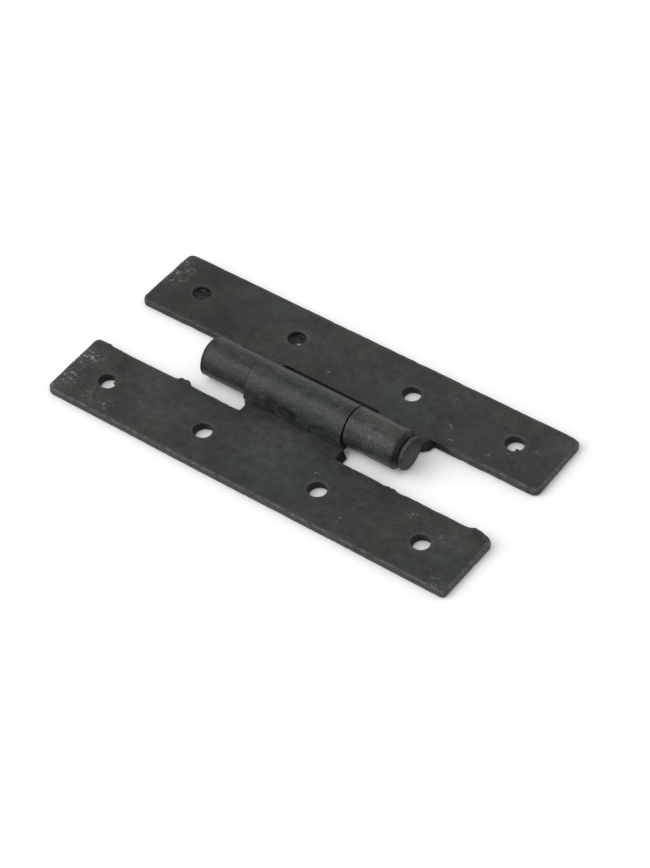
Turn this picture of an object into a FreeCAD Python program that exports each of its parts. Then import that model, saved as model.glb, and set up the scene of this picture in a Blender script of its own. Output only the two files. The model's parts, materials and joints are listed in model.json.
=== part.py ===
import FreeCAD, Part
import math
import os
from enum import IntEnum

import Sketcher

# Driving sizes of the hinge, in millimetres.
# X runs along the pin, the two leaves lie side by side in Y, and Z = 0 is the back of both leaves.
SIZES = {
    "leaf_length": 101.6,
    "strip_width": 17.7,
    "sheet_thickness": 2.0,
    "corner_radius": 1.8,  # outer corners of both strips
    "inner_corner_radius": 0.6,  # where a tongue leaves its strip, and at the bottom of the slot
    "edge_round": 0.4,  # front edges, softened by hammering
    "pin_diameter": 5.0,
    "pin_clearance": 0.05,  # all round the pin
    "head_inset": 0.85,  # rim of a peened pin head, inside the barrel's outside
    "head_height": 0.9,
    "head_chamfer": 0.3,
    "head_clearance": 0.05,  # under each head
    "barrel_length": 49.2,  # over both outer knuckles
    "barrel_offset": -0.7,  # middle of the barrel, from the middle of the strips
    "barrel_end_round": 1.1,
    "round_limit": 0.6,  # greatest share of the sheet's thickness that the rounded barrel ends take
    "centre_knuckle_width": 24.7,
    "centre_knuckle_offset": -1.65,  # middle of the centre knuckle, from the middle of the strips
    "left_gap": 0.1,  # between the centre knuckle and the left outer one
    "right_gap": 0.25,  # between the centre knuckle and the right outer one
    "roll_shift": -0.7,  # how far the rolled knuckles ran sideways of their tongues
    "roll_clearance": 0.3,  # from the barrel to the shoulder of a tongue
    "strip_clearance": 3.5,  # from the barrel to the inner edge of a strip
    "slot_depth": 0.55,  # how far the slot cuts into its strip
    "seam_gap": 0.15,  # between the free end of a roll and its own tongue
    "hole_diameter": 4.2,
    "hole_rim_chamfer": 0.4,
    # Rows of holes, punched by hand: from the end of the strip to its nearest hole, between the two
    # holes beside the tongue, and from the middle of the strip to the middle of the row.
    "single_hole_end_distance": 10.8,
    "single_inner_hole_spacing": 29.3,
    "single_hole_offset": -0.75,
    "double_hole_end_distance": 10.25,
    "double_inner_hole_spacing": 30.0,
    "double_hole_offset": -0.35,
}

# Sizes that follow from the driving ones.
DERIVED = {
    "half_length": "sizes.leaf_length / 2",
    "bore_radius": "sizes.pin_diameter / 2 + sizes.pin_clearance",
    "barrel_radius": "bore_radius + sizes.sheet_thickness",
    "shoulder": "barrel_radius + sizes.roll_clearance",
    "strip_inner": "barrel_radius + sizes.strip_clearance",
    "strip_middle": "strip_inner + sizes.strip_width / 2",
    "strip_outer": "strip_inner + sizes.strip_width",
    "slot_bottom": "strip_inner + sizes.slot_depth",
    "seam_height": "sizes.sheet_thickness + sizes.seam_gap",
    "centre_left": "sizes.centre_knuckle_offset - sizes.centre_knuckle_width / 2",
    "centre_right": "sizes.centre_knuckle_offset + sizes.centre_knuckle_width / 2",
    "opening_left": "centre_left - sizes.left_gap",
    "opening_right": "centre_right + sizes.right_gap",
    "barrel_left": "sizes.barrel_offset - sizes.barrel_length / 2",
    "barrel_right": "sizes.barrel_offset + sizes.barrel_length / 2",
    "centre_tongue_left": "centre_left - sizes.roll_shift",
    "centre_tongue_right": "centre_right - sizes.roll_shift",
    "slot_left": "opening_left - sizes.roll_shift",
    "slot_right": "opening_right - sizes.roll_shift",
    "outer_tongue_left": "barrel_left - sizes.roll_shift",
    "outer_tongue_right": "barrel_right - sizes.roll_shift",
    "pin_radius": "sizes.pin_diameter / 2",
    "head_radius": "barrel_radius - sizes.head_inset",
    "seat_left": "barrel_left - sizes.head_clearance",
    "seat_right": "barrel_right + sizes.head_clearance",
    "tip_left": "seat_left - sizes.head_height",
    "tip_right": "seat_right + sizes.head_height",
}
for leaf in ("single", "double"):
    middle = f"sizes.{leaf}_hole_offset"
    outer_half = f"(half_length - sizes.{leaf}_hole_end_distance)"
    inner_half = f"sizes.{leaf}_inner_hole_spacing / 2"
    DERIVED |= {
        f"{leaf}_outer_hole_left": f"{middle} - {outer_half}",
        f"{leaf}_inner_hole_left": f"{middle} - {inner_half}",
        f"{leaf}_inner_hole_right": f"{middle} + {inner_half}",
        f"{leaf}_outer_hole_right": f"{middle} + {outer_half}",
    }

HOLES = ("outer_hole_left", "inner_hole_left", "inner_hole_right", "outer_hole_right")
TOLERANCE = 1e-4


class Side(IntEnum):
    """The side of the pin, along Y, on which a leaf's strip lies."""

    NEAR = -1
    FAR = 1


class Point(IntEnum):
    """The points of a sketched line or arc."""

    START = 1
    END = 2
    CENTRE = 3


class Axis(IntEnum):
    """A sketch's own axes. The start of the level one is the sketch's origin."""

    LEVEL = -1
    UPRIGHT = -2


NEAR, FAR = Side
START, END, CENTRE = Point
ORIGIN = Axis.LEVEL

doc = FreeCAD.newDocument("h_hinge")


def write_sizes():
    """The sheet of driving sizes, and the set of values that follow from them."""
    sheet = doc.addObject("Spreadsheet::Sheet", "sizes")
    for row, (name, value) in enumerate(SIZES.items(), start=1):
        sheet.set(f"A{row}", str(value))
        sheet.setAlias(f"A{row}", name)
    doc.recompute()
    values = doc.addObject("App::VarSet", "derived")
    for name, expression in DERIVED.items():
        values.addProperty("App::PropertyFloat", name, "Derived")
        values.setExpression(name, expression)
    doc.recompute()
    return values


derived = write_sizes()


def number(name):
    """The value of a driving or derived size."""
    return SIZES[name] if name in SIZES else derived.getPropertyByName(name)


def cell(name):
    """Where an expression finds a driving or derived size."""
    return f"sizes.{name}" if name in SIZES else f"derived.{name}"


def new_sketch(body, name, role):
    """An empty sketch on one of the body's own origin planes."""
    plane = next(feature for feature in body.Origin.OriginFeatures if feature.Role == role)
    sketch = body.newObject("Sketcher::SketchObject", name)
    sketch.AttachmentSupport = [(plane, "")]
    sketch.MapMode = "FlatFace"
    return sketch


def bind(sketch, kind, elements, size, sign=1):
    """Adds a dimension to the sketch and ties it to a size, on the given side of the origin."""
    index = sketch.addConstraint(Sketcher.Constraint(kind, *elements, sign * number(size)))
    name = f"{size}_{index}"
    sketch.renameConstraint(index, name)
    sketch.setExpression(f"Constraints.{name}", f"{sign} * {cell(size)}")


def join(sketch, first, first_point, second, second_point):
    sketch.addConstraint(Sketcher.Constraint("Coincident", first, first_point, second, second_point))


def line(sketch, start, end):
    return sketch.addGeometry(Part.LineSegment(FreeCAD.Vector(*start, 0), FreeCAD.Vector(*end, 0)))


def stepped_outline(sketch, steps):
    """A closed outline of level and upright lines in turn, each at (sign, derived size)."""
    places = [sign * number(name) for sign, name in steps]
    corners = []
    for index, place in enumerate(places):
        following = places[(index + 1) % len(places)]
        corners.append((following, place) if index % 2 == 0 else (place, following))
    lines = [line(sketch, corners[index - 1], corners[index]) for index in range(len(steps))]
    for index, (sign, name) in enumerate(steps):
        level = index % 2 == 0
        join(sketch, lines[index - 1], END, lines[index], START)
        sketch.addConstraint(Sketcher.Constraint("Horizontal" if level else "Vertical", lines[index]))
        axis = "DistanceY" if level else "DistanceX"
        bind(sketch, axis, (ORIGIN, START, lines[index], START), name, sign)


def roll_section(sketch, side):
    """Section of a rolled knuckle: the sheet runs in under the pin, turns up on the far side of it,
    goes over the top, and its free end comes straight down to stand just above its own tongue."""
    radius = number("barrel_radius")
    bore = number("bore_radius")
    top = number("sheet_thickness")
    seam = number("seam_height")
    edge = side * number("shoulder")
    turn = (270, 540) if side == NEAR else (0, 270)
    run_in, run_out = (START, END) if side == NEAR else (END, START)
    axis = FreeCAD.Vector(0, radius, 0)
    normal = FreeCAD.Vector(0, 0, 1)
    angles = [math.radians(angle) for angle in turn]
    outer = sketch.addGeometry(Part.ArcOfCircle(Part.Circle(axis, normal, radius), *angles))
    inner = sketch.addGeometry(Part.ArcOfCircle(Part.Circle(axis, normal, bore), *angles))
    free_outer = line(sketch, (side * radius, radius), (side * radius, seam))
    free_end = line(sketch, (side * radius, seam), (side * bore, seam))
    free_inner = line(sketch, (side * bore, seam), (side * bore, radius))
    lead_top = line(sketch, (0, top), (edge, top))
    lead_edge = line(sketch, (edge, top), (edge, 0))
    lead_bottom = line(sketch, (edge, 0), (0, 0))
    join(sketch, lead_bottom, END, ORIGIN, START)
    join(sketch, outer, run_in, lead_bottom, END)
    join(sketch, inner, CENTRE, outer, CENTRE)
    join(sketch, outer, run_out, free_outer, START)
    join(sketch, free_outer, END, free_end, START)
    join(sketch, free_end, END, free_inner, START)
    join(sketch, free_inner, END, inner, run_out)
    join(sketch, inner, run_in, lead_top, START)
    join(sketch, lead_top, END, lead_edge, START)
    join(sketch, lead_edge, END, lead_bottom, START)
    for level in (free_end, lead_top, lead_bottom):
        sketch.addConstraint(Sketcher.Constraint("Horizontal", level))
    for upright in (free_outer, free_inner, lead_edge):
        sketch.addConstraint(Sketcher.Constraint("Vertical", upright))
    for arc in (outer, inner):
        sketch.addConstraint(Sketcher.Constraint("Horizontal", arc, CENTRE, arc, run_out))
    sketch.addConstraint(Sketcher.Constraint("PointOnObject", outer, CENTRE, Axis.UPRIGHT))
    sketch.addConstraint(Sketcher.Constraint("PointOnObject", inner, run_in, Axis.UPRIGHT))
    bind(sketch, "DistanceY", (ORIGIN, START, outer, CENTRE), "barrel_radius")
    bind(sketch, "DistanceY", (ORIGIN, START, inner, run_in), "sheet_thickness")
    bind(sketch, "DistanceY", (ORIGIN, START, free_outer, END), "seam_height")
    bind(sketch, "DistanceX", (ORIGIN, START, lead_edge, START), "shoulder", side)


def roll_knuckles(body, side, left, right):
    """The rolled part of a leaf, as one roll from left to right along the pin."""
    section = new_sketch(body, "roll_section", "YZ_Plane")
    section.setExpression("AttachmentOffset.Base.z", f"derived.{left}")
    roll_section(section, side)
    roll = body.newObject("PartDesign::Pad", "roll")
    roll.Profile = section
    roll.setExpression("Length", f"derived.{right} - derived.{left}")
    doc.recompute()


def cut_through(body, name, sketch):
    """Cuts a sketch on the back plane up through the whole leaf."""
    before = body.Tip.Shape.Volume
    cut = body.newObject("PartDesign::Pocket", name)
    cut.Profile = sketch
    cut.Type = "ThroughAll"
    cut.Reversed = True
    doc.recompute()
    if cut.Shape.Volume > before - TOLERANCE:
        raise RuntimeError(f"{body.Label}: {name} cuts nothing")


def dress_edges(body, name, kind, size, test):
    """Adds a fillet or chamfer of the given size to every edge of the body that passes the test."""
    base = body.Tip
    edges = [f"Edge{index}" for index, edge in enumerate(base.Shape.Edges, start=1) if test(edge)]
    dressing = body.newObject(f"PartDesign::{kind}", name)
    dressing.Base = (base, edges)
    dressing.setExpression("Radius" if kind == "Fillet" else "Size", size)
    doc.recompute()


def add_plate(body, steps):
    """The flat of a leaf: its strip and the tongue that leads to the roll."""
    outline = new_sketch(body, "plate_outline", "XY_Plane")
    stepped_outline(outline, steps)
    plate = body.newObject("PartDesign::Pad", "plate")
    plate.Profile = outline
    plate.setExpression("Length", "sizes.sheet_thickness")
    doc.recompute()


def is_upright(edge):
    box = edge.BoundBox
    return box.XLength < TOLERANCE and box.YLength < TOLERANCE


def round_corners(body, side, tongue):
    """Rounds the strip's corners, and the inside corners at the given lines across the tongue."""

    def at(edge, x, y):
        place = edge.BoundBox.Center
        return is_upright(edge) and abs(place.x - x) < TOLERANCE and abs(place.y - y) < TOLERANCE

    def at_any(spots):
        return lambda edge: any(at(edge, *spot) for spot in spots)

    ends = (-number("half_length"), number("half_length"))
    sides = (side * number("strip_inner"), side * number("strip_outer"))
    outer = [(x, y) for x in ends for y in sides]
    inner = [(number(across), side * number(along)) for across, along in tongue]
    dress_edges(body, "corners", "Fillet", "sizes.corner_radius", at_any(outer))
    dress_edges(body, "inner_corners", "Fillet", "sizes.inner_corner_radius", at_any(inner))


def soften_front(body):
    """Rounds the front edges of the strip and its tongue."""
    front = number("sheet_thickness")
    shoulder = number("shoulder")

    def on_front_outline(edge):
        box = edge.BoundBox
        flat = abs(box.ZMin - front) < TOLERANCE and abs(box.ZMax - front) < TOLERANCE
        clear = min(abs(box.YMin), abs(box.YMax)) > shoulder - TOLERANCE
        across_tongue = box.YLength < TOLERANCE and abs(abs(box.YMin) - shoulder) < TOLERANCE
        return flat and clear and not across_tongue

    dress_edges(body, "front_edges", "Fillet", "sizes.edge_round", on_front_outline)


def punch_holes(body, side, leaf):
    """Four screw holes along the middle of the strip, each with its front rim broken."""
    sketch = new_sketch(body, "hole_centres", "XY_Plane")
    normal = FreeCAD.Vector(0, 0, 1)
    radius = number("hole_diameter") / 2
    for hole in HOLES:
        along = f"{leaf}_{hole}"
        centre = FreeCAD.Vector(number(along), side * number("strip_middle"), 0)
        circle = sketch.addGeometry(Part.Circle(centre, normal, radius))
        bind(sketch, "DistanceX", (ORIGIN, START, circle, CENTRE), along)
        bind(sketch, "DistanceY", (ORIGIN, START, circle, CENTRE), "strip_middle", side)
        bind(sketch, "Diameter", (circle,), "hole_diameter")
    cut_through(body, "holes", sketch)
    front = number("sheet_thickness")

    def is_front_rim(edge):
        curve = edge.Curve
        round_rim = isinstance(curve, Part.Circle) and abs(curve.Radius - radius) < TOLERANCE
        return round_rim and abs(edge.BoundBox.ZMin - front) < TOLERANCE

    dress_edges(body, "hole_rims", "Chamfer", "sizes.hole_rim_chamfer", is_front_rim)


def single_knuckle_leaf():
    """The leaf with the centre knuckle."""
    body = doc.addObject("PartDesign::Body", "single_knuckle_leaf")
    roll_knuckles(body, NEAR, "centre_left", "centre_right")
    add_plate(
        body,
        [
            (NEAR, "strip_outer"),
            (1, "half_length"),
            (NEAR, "strip_inner"),
            (1, "centre_tongue_right"),
            (NEAR, "shoulder"),
            (1, "centre_tongue_left"),
            (NEAR, "strip_inner"),
            (-1, "half_length"),
        ],
    )
    tongue = [("centre_tongue_left", "strip_inner"), ("centre_tongue_right", "strip_inner")]
    round_corners(body, NEAR, tongue)
    soften_front(body)
    punch_holes(body, NEAR, "single")
    return body


def double_knuckle_leaf():
    """The leaf with the two outer knuckles, which holds the pin."""
    body = doc.addObject("PartDesign::Body", "double_knuckle_leaf")
    roll_knuckles(body, FAR, "barrel_left", "barrel_right")
    radius = number("barrel_radius")

    def is_outer_end(edge):
        curve = edge.Curve
        return isinstance(curve, Part.Circle) and abs(curve.Radius - radius) < TOLERANCE

    end_round = "min(sizes.barrel_end_round; sizes.round_limit * sizes.sheet_thickness)"
    dress_edges(body, "barrel_ends", "Fillet", end_round, is_outer_end)
    opening = new_sketch(body, "centre_opening", "XY_Plane")
    stepped_outline(
        opening,
        [(-1, "strip_inner"), (1, "opening_right"), (1, "strip_inner"), (1, "opening_left")],
    )
    cut_through(body, "centre_gap", opening)
    add_plate(
        body,
        [
            (FAR, "strip_outer"),
            (1, "half_length"),
            (FAR, "strip_inner"),
            (1, "outer_tongue_right"),
            (FAR, "shoulder"),
            (1, "slot_right"),
            (FAR, "slot_bottom"),
            (1, "slot_left"),
            (FAR, "shoulder"),
            (1, "outer_tongue_left"),
            (FAR, "strip_inner"),
            (-1, "half_length"),
        ],
    )
    tongue = [
        ("outer_tongue_left", "strip_inner"),
        ("outer_tongue_right", "strip_inner"),
        ("slot_left", "slot_bottom"),
        ("slot_right", "slot_bottom"),
    ]
    round_corners(body, FAR, tongue)
    soften_front(body)
    punch_holes(body, FAR, "double")
    return body


def hinge_pin():
    """The pin: a plain shaft with a peened head seated on each end of the barrel."""
    body = doc.addObject("PartDesign::Body", "hinge_pin")
    profile = new_sketch(body, "half_section", "XZ_Plane")
    profile.setExpression("AttachmentOffset.Base.y", "derived.barrel_radius")
    axis_line = line(profile, (number("tip_left"), 0), (number("tip_right"), 0))
    corners = [
        ("tip_right", "head_radius"),
        ("seat_right", "head_radius"),
        ("seat_right", "pin_radius"),
        ("seat_left", "pin_radius"),
        ("seat_left", "head_radius"),
        ("tip_left", "head_radius"),
    ]
    places = [(number(along), number(out)) for along, out in corners]
    points = [(number("tip_right"), 0), *places, (number("tip_left"), 0)]
    lines = [axis_line] + [line(profile, *pair) for pair in zip(points, points[1:])]
    for index, element in enumerate(lines):
        join(profile, lines[index - 1], END, element, START)
        profile.addConstraint(Sketcher.Constraint("Horizontal" if index % 2 == 0 else "Vertical", element))
    profile.addConstraint(Sketcher.Constraint("PointOnObject", axis_line, START, Axis.LEVEL))
    for element, (along, _) in zip(lines[1::2], corners[::2] + [corners[-1]]):
        bind(profile, "DistanceX", (ORIGIN, START, element, END), along)
    for element, (_, out) in zip(lines[2::2], corners[::2]):
        bind(profile, "DistanceY", (ORIGIN, START, element, START), out)
    turned = body.newObject("PartDesign::Revolution", "turned")
    turned.Profile = profile
    turned.ReferenceAxis = (profile, ["H_Axis"])
    doc.recompute()
    tips = (number("tip_left"), number("tip_right"))

    def is_head_rim(edge):
        box = edge.BoundBox
        return box.XLength < TOLERANCE and min(abs(box.XMin - tip) for tip in tips) < TOLERANCE

    dress_edges(body, "head_rims", "Chamfer", "sizes.head_chamfer", is_head_rim)
    return body


def check(objects):
    """Stops the build if anything in the document failed, or a piece is not one valid solid."""
    for item in doc.Objects:
        if {"Invalid", "Error"} & set(item.State):
            raise RuntimeError(f"{item.Label} failed: {item.State}")
    for item in objects:
        shape = item.Shape
        if shape.isNull() or not shape.isValid() or len(shape.Solids) != 1:
            raise RuntimeError(f"{item.Label} is not one valid solid")


pieces = [single_knuckle_leaf(), double_knuckle_leaf(), hinge_pin()]
doc.recompute()
check(pieces)
os.makedirs("parts", exist_ok=True)
for piece in pieces:
    piece.Shape.exportStep(os.path.join("parts", f"{piece.Label}.step"))
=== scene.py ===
import json
import math

import bpy
import numpy as np
from mathutils import Matrix, Vector, noise
from mathutils.geometry import delaunay_2d_cdt


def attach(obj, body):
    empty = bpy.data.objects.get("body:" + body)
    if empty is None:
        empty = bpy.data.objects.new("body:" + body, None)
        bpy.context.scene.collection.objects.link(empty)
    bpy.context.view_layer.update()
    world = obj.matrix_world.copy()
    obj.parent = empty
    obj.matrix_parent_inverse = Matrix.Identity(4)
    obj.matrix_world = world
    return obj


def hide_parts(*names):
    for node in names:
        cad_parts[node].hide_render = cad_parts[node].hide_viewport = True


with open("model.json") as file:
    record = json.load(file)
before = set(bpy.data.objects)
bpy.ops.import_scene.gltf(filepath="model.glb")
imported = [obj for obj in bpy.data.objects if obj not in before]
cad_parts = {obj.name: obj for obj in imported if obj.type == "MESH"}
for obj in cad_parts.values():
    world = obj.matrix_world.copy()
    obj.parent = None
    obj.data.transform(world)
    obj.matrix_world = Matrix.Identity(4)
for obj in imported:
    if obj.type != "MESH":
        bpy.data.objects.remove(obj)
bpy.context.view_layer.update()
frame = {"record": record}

MM = 0.001
NEAR, FAR = -1, 1

# Sizes of the hinge in millimetres and angles in radians, close to those of its solids.
# A leaf is drawn as a flat blank: x runs along the pin, and "along" runs from the outer edge of the
# strip (negative) to the point under the pin (zero) and on round the roll to its free end.
SHEET = 2.0
STRIP_INNER = 7.87
NEAR_RIGHT_FOOT = 8.0
SLOT_BOTTOM = 8.68
SHOULDER = 4.85
STEP = 4.62
RIGHT_END = 49.0
BARREL_RADIUS = 4.55
NEUTRAL_RADIUS = BARREL_RADIUS - SHEET / 2
SEAM_HEIGHT = 2.15
FULL_TURN = 1.5 * math.pi
ROLL_END = FULL_TURN * NEUTRAL_RADIUS + BARREL_RADIUS - SEAM_HEIGHT
CENTRE_KNUCKLE = (-14.0, 10.7)
CENTRE_TONGUE = (-12.75, 11.6)
OPENING = (-14.06, 11.0)
SLOT = (-12.7, 11.65)
BARREL = (-25.3, 23.9)
OUTER_TONGUE = (-24.6, 24.6)
HOLE_RADIUS = 2.02
CLOSED_SPLIT = math.radians(34)

# Roundings in millimetres.
SMALL_CORNER = 0.33
INNER_CORNER = 0.25
SHOULDER_ROUND = 3.0
FRONT_ROUND = 0.3
BACK_ROUND = 0.45
END_ROUND = 0.8
SPLIT_ROUND = 0.08
SLOT_ROUND = 0.08
LEFT_END_ROUND = 0.12
RIGHT_END_ROUND = 1.1
HOLE_ROUND = 0.3
CLOSED_SPLIT_ROUND = 0.02

# Traces of hand work in millimetres. The flare is how far a tongue's right side leans outward.
HOLE_SLANT = (0.4, 0.27)
HOLE_UNEVENNESS = 0.06
SEAM_BULGE = 0.45
BULGE_LENGTH = 5.5
NEAR_FLARE = 1.15
FAR_FLARE = 1.3
FLARE_REACH = 4.5
FLARE_END = 4.7
EDGE_SWAY = 0.11
EDGE_NICKS = 0.08
RIDGE_HEIGHT = 0.75
RIDGE_INSET = 0.55
RIDGE_WIDTH = 0.4
GROOVE_INSET = 1.25
GROOVE_WIDTH = 0.28

# The cosine of a burr's half angle, and the share of the edges' unevenness that the roll is spared.
BURR_COSINE = 0.95
ROLL_EVENNESS = 0.9

# Hammer dents in millimetres: how wide they are, and how much metal they take off each face.
SWELL_SIZE = 14
DIMPLE_SIZE = 3.2
THINNING_SIZE = 4
THINNING_REACH = 1.0
FRONT_SWELL = 0.05
FRONT_DIMPLE = 0.03
FRONT_THINNING = 0.15
BACK_DENTS = 0.02
ROLL_SWELL = 0.04
ROLL_DIMPLE = 0.03

# Painted shade on the walls of holes, along the ridge, at the barrel's right end and in the splits; a
# painted sheen on the walls; and wear on the front by the edges. All as shares of a wholly black or bright
# surface.
HOLE_SHADE = 0.75
GROOVE_SHADE = 0.9
RIGHT_END_SHADE = 0.9
SPLIT_SHADE = 0.95
WALL_SHEEN = 0.4
FRONT_WEAR = 0.7

# The mesh: its spacing and margins in millimetres.
SPACING = 0.42
HOLE_SPACING = 0.8 * SPACING
CLEAR_OF_EDGE = 0.6 * SPACING
TOUCH = 0.05
NOTCH_MARGIN = 0.4
SLOT_MARGIN = 1
SAME_POINT = 1e-6

# The steps in a rounding, and how roundings give way where the sheet is narrow.
ARC_STEPS = 4
ROUNDING_SHARE = 0.8
BEVEL_END = 0.9
ROOM_ROUNDS = 12
ROOM_SHARE = 0.985
ROOM_SHRINK = 0.8

# Passes that soften the painted shade and the wear with its painted sheen, points compared at a time, and
# how far a seed shifts the noise.
SOFT_PASSES = 12
BATCH = 64
NOISE_SHIFT = (17.3, 9.1, 5.7)

# The strips' corners as (x, along, radius), from the inner left one round by the outer edge.
NEAR_STRIP = [
    (-50.75, -7.72, 1.2),
    (-50.45, -25.57, 1.5),
    (50.1, -25.75, 1.1),
    (50.5, -8.05, 1.4),
]
FAR_STRIP = [
    (-50.55, -7.55, 1.4),
    (-50.5, -25.52, 1.5),
    (50.8, -25.75, 1.5),
    (50.8, -7.97, 1.7),
]

# Single lumps (or hollows, with a negative height) on the strips' edges, as (x, along, length, height).
NEAR_LUMPS = [
    (-48.9, -STRIP_INNER, 2.6, 0.2),
    (-47.2, -STRIP_INNER, 0.9, 0.25),
    (-38.0, -STRIP_INNER, 12.0, -0.15),
    (-28.0, -STRIP_INNER, 1.8, 0.65),
    (-26.5, -STRIP_INNER, 1.3, 0.85),
    (25.0, -STRIP_INNER, 0.8, 0.35),
    (26.3, -STRIP_INNER, 0.9, 0.35),
    (28.2, -STRIP_INNER, 1.6, -0.2),
    (45.7, -STRIP_INNER, 2.0, 0.65),
    (47.4, -STRIP_INNER, 1.9, 0.45),
    (-10.0, -25.7, 40.0, 0.1),
    (-14.0, 8.4, 4.0, 0.04),
    (-14.0, 10.8, 3.0, 0.04),
]
FAR_LUMPS = [
    (-27.5, -STRIP_INNER, 1.0, 0.2),
    (10.0, -25.75, 1.6, -0.07),
    (22.0, -25.75, 2.2, -0.08),
    (38.0, -25.75, 3.0, -0.1),
    (33.0, -STRIP_INNER, 1.5, -0.15),
]

# The holes from the left: burrs as (angle in degrees, height), and how far each was punched off its mark.
NEAR_BURRS = ([(18.0, 0.7), (58.0, 0.6)], [], [], [])
FAR_BURRS = ([], [], [], [(42.0, 0.6)])
NEAR_NUDGES = ((0.0, -0.05), (-0.2, -0.15), (-0.35, -0.2), (-0.45, -0.15))
FAR_NUDGES = ((0.2, -0.45), (-0.1, -0.15), (-0.5, -0.05), (-0.5, 0.1))

# Marks on the blanks, as (x, along, size, strength).
NEAR_SCUFFS = [
    (-50.1, -14.8, 1.3, 1.6),
    (-48.2, -13.0, 2.2, 1.0),
    (-48.6, -20.2, 2.4, 0.8),
    (-49.2, -24.7, 0.8, 1.6),
    (-41.2, -21.9, 2.0, 0.5),
    (-36.6, -22.5, 1.6, 0.45),
    (-36.2, -8.9, 1.3, 0.6),
    (10.8, -13.4, 0.7, 0.8),
    (21.8, -21.4, 0.8, 0.7),
    (33.3, -11.5, 1.0, 0.6),
    (41.8, -13.9, 0.8, 0.9),
    (47.2, -24.0, 1.4, 0.8),
]
FAR_SCUFFS_AND_GLINTS = [
    (-49.4, -17.6, 1.3, 2.2),
    (-49.9, -21.6, 1.2, 1.6),
    (-48.2, -16.6, 2.0, 1.2),
    (-47.0, -20.4, 1.4, 0.8),
    (-10.1, -16.8, 0.6, 1.0),
    (-4.1, -12.4, 0.6, 0.8),
    (23.1, -20.3, 0.8, 0.8),
    (26.3, -13.5, 0.6, 1.0),
    (28.3, -10.1, 0.6, 0.9),
    (36.9, -11.3, 0.6, 0.9),
    (40.3, -13.4, 0.6, 0.6),
    (44.7, -17.1, 0.9, 0.6),
    # Painted glints in the highlight on the right knuckle.
    (17.0, 8.0, 3.5, 0.16),
    (13.5, 7.2, 2.5, 0.14),
]
NEAR_BEAD = [
    (46.8, -8.3, 1.3, 1.0),
    (48.5, -8.5, 1.5, 1.0),
    (49.8, -9.3, 1.5, 1.0),
    (50.2, -11.0, 1.4, 1.0),
    (-27.3, -8.2, 1.6, 0.9),
]
FAR_BEAD = [(-50.0, -8.3, 1.5, 0.5)]
# Darker patches on the plate and the middle knuckle.
NEAR_DARK_PATCHES = [
    (-2.0, 13.0, 13.0, 0.22),
    (-39.5, -11.5, 4.0, 0.2),
    (-26.0, -9.5, 4.0, 0.14),
    (-45.0, -20.0, 4.0, 0.14),
]
# Darker patches on the plate and the left knuckle; painted shade low on the right knuckle and in the gap
# under its left end.
FAR_DARK_PATCHES_AND_SHADE = [
    (-33.5, -12.0, 7.0, 0.55),
    (-41.0, -21.0, 8.0, 0.42),
    (-43.5, -14.5, 9.0, 0.46),
    (30.0, -19.0, 7.0, 0.1),
    (-19.0, 8.0, 8.0, 0.26),
    (17.0, 5.0, 3.0, 0.2),
    (11.6, 3.4, 1.2, 0.9),
]
NEAR_PALE = [
    (-49.0, -14.0, 2.6, 0.3),
    (-48.8, -21.5, 3.0, 0.25),
    (-40.0, -22.3, 3.0, 0.15),
    (-32.0, -13.0, 5.0, 0.2),
    (-25.0, -18.0, 5.0, 0.14),
    # Painted light on the tongue where the barrel shades it.
    (-1.0, -8.0, 9.0, 0.26),
    (45.0, -17.0, 6.0, 0.1),
]
FAR_PALE = [
    (-49.2, -18.0, 2.6, 0.4),
    (-49.6, -22.5, 2.0, 0.35),
    (-12.0, -13.5, 5.0, 0.1),
    (25.0, -21.5, 4.0, 0.12),
    # A painted sheen on the right end's corner, and a painted highlight on the right knuckle.
    (48.5, -23.0, 3.0, 0.3),
    (16.5, 8.0, 3.2, 0.3),
]
NEAR_BROWN = [(-42.0, -12.0, 5.0, 0.25), (49.6, -10.5, 1.6, 0.6)]
FAR_BROWN = [
    (-46.2, -19.0, 1.2, 1.2),
    (-40.0, -12.5, 7.0, 0.3),
    (-15.0, 5.0, 1.0, 1.3),
    (16.0, 10.9, 2.2, 0.7),
    (19.5, 10.4, 2.0, 0.6),
    (-27.5, -8.4, 1.4, 0.8),
]
NEAR_BLUE = [(6.0, -15.0, 13.0, 0.8), (46.0, -19.0, 6.0, 0.6), (-2.0, 13.0, 16.0, 1.0)]
FAR_BLUE = [(-20.0, 6.0, 7.0, 0.6), (18.0, 6.5, 8.0, 1.0), (15.0, -11.0, 5.0, 0.6)]

# The marks that the steel's colour shows as they stand, among them painted glints, sheen and highlights.
# The others shape the ridge, and add darker patches and painted shade.
PAINTED_MARKS = ("scuff_and_glint", "brown", "blue", "pale")


def unit(vector):
    """A vector of length 1 in the same direction."""
    return vector / np.linalg.norm(vector)


def rough(points, size, octaves=3, seed=0.0):
    """Smooth noise of about -1 to 1 at each point, with bumps of the given size."""
    offset = Vector([seed * shift for shift in NOISE_SHIFT])
    return np.array([noise.fractal(Vector(point) / size + offset, 1.0, 2.0, octaves) for point in points])


def fade(value, start, end):
    """Goes smoothly from 0 at start to 1 at end."""
    share = np.clip((value - start) / (end - start), 0, 1)
    return share * share * (3 - 2 * share)


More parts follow.
